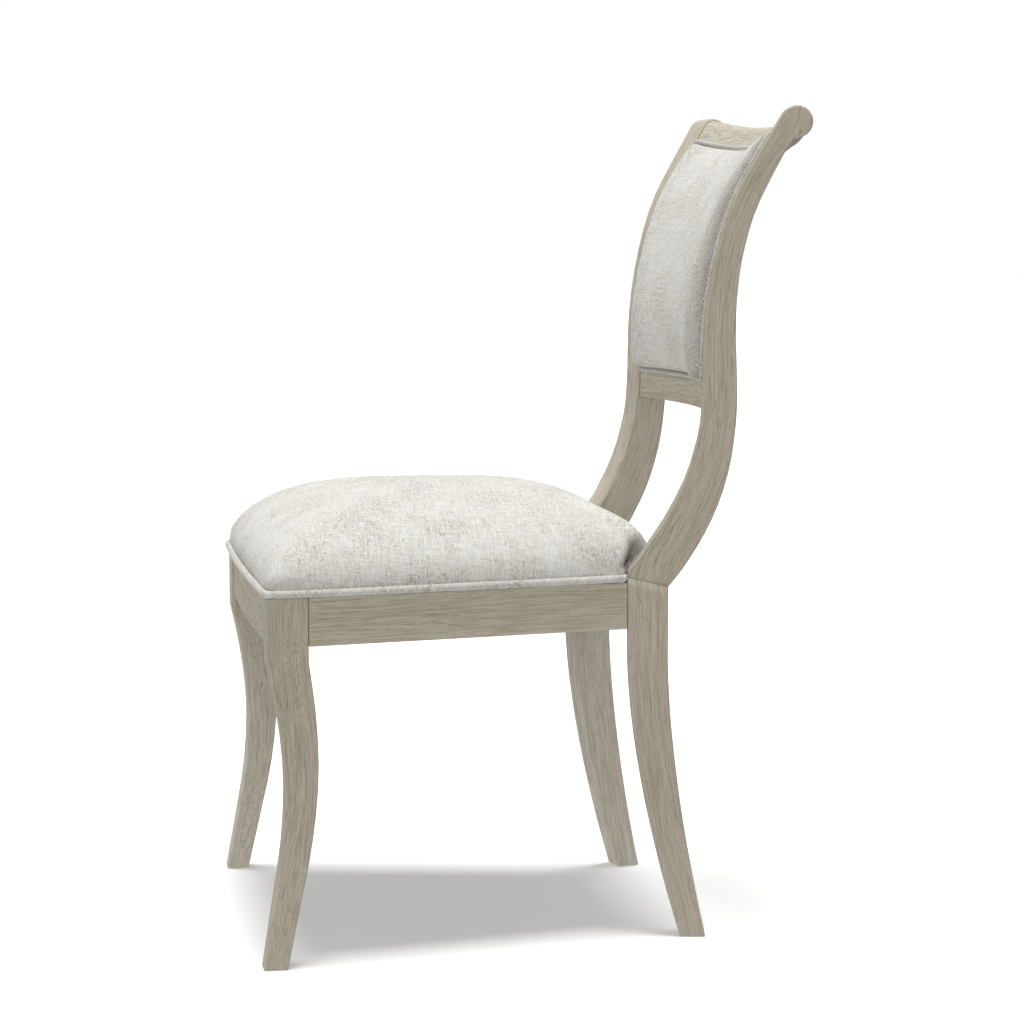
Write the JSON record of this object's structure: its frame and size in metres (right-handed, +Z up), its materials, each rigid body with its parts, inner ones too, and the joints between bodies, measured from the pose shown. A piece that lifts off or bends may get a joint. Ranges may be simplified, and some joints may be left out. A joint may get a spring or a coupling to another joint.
{
  "type": "dining chair",
  "caption": "Klismos dining chair with sabre legs, scroll-topped back posts, a bowed crest rail and a welted, upholstered seat and back.",
  "frame": {"origin": "middle of the bounding box, on the floor", "axes": "+Z up, -Y the way the sitter faces, +X the sitter's left; the chair is symmetric about X = 0"},
  "size_m": [0.546, 0.6562, 0.9496],
  "materials": {
    "oak": "weathered grey-brown open-pored oak",
    "plywood": "plain birch plywood",
    "linen": "off-white slub linen weave",
    "foam": "open-cell upholstery foam",
    "dust_cloth": "black cambric",
    "zinc_steel": "zinc-plated steel",
    "nylon": "brown nylon"
  },
  "bodies": {
    "root": {"back_board": "plywood", "back_cover": "linen", "back_foam": "foam", "back_post_left": "oak", "back_post_right": "oak", "back_screw_crest_left": "zinc_steel", "back_screw_crest_right": "zinc_steel", "back_screw_lower_left": "zinc_steel", "back_screw_lower_right": "zinc_steel", "back_welt": "linen", "block_screw_front_in_front_rail_left": "zinc_steel", "block_screw_front_in_front_rail_right": "zinc_steel", "block_screw_front_in_side_rail_left": "zinc_steel", "block_screw_front_in_side_rail_right": "zinc_steel", "block_screw_rear_in_rear_rail_left": "zinc_steel", "block_screw_rear_in_rear_rail_right": "zinc_steel", "block_screw_rear_in_side_rail_left": "zinc_steel", "block_screw_rear_in_side_rail_right": "zinc_steel", "corner_block_front_left": "plywood", "corner_block_front_right": "plywood", "corner_block_rear_left": "plywood", "corner_block_rear_right": "plywood", "crest_rail": "oak", "foot_glide_front_left": "nylon", "foot_glide_front_right": "nylon", "foot_glide_rear_left": "nylon", "foot_glide_rear_right": "nylon", "front_leg_left": "oak", "front_leg_right": "oak", "front_rail": "oak", "lower_back_rail": "oak", "outside_back_board": "plywood", "outside_back_cover": "linen", "outside_back_welt": "linen", "post_tenon_left": "oak", "post_tenon_right": "oak", "rear_leg_left": "oak", "rear_leg_right": "oak", "rear_rail": "oak", "seat_board": "plywood", "seat_cover": "linen", "seat_dust_cover": "dust_cloth", "seat_foam": "foam", "seat_screw_front_left": "zinc_steel", "seat_screw_front_right": "zinc_steel", "seat_screw_rear_left": "zinc_steel", "seat_screw_rear_right": "zinc_steel", "seat_welt": "linen", "side_rail_left": "oak", "side_rail_right": "oak"}
  },
  "joints": []
}
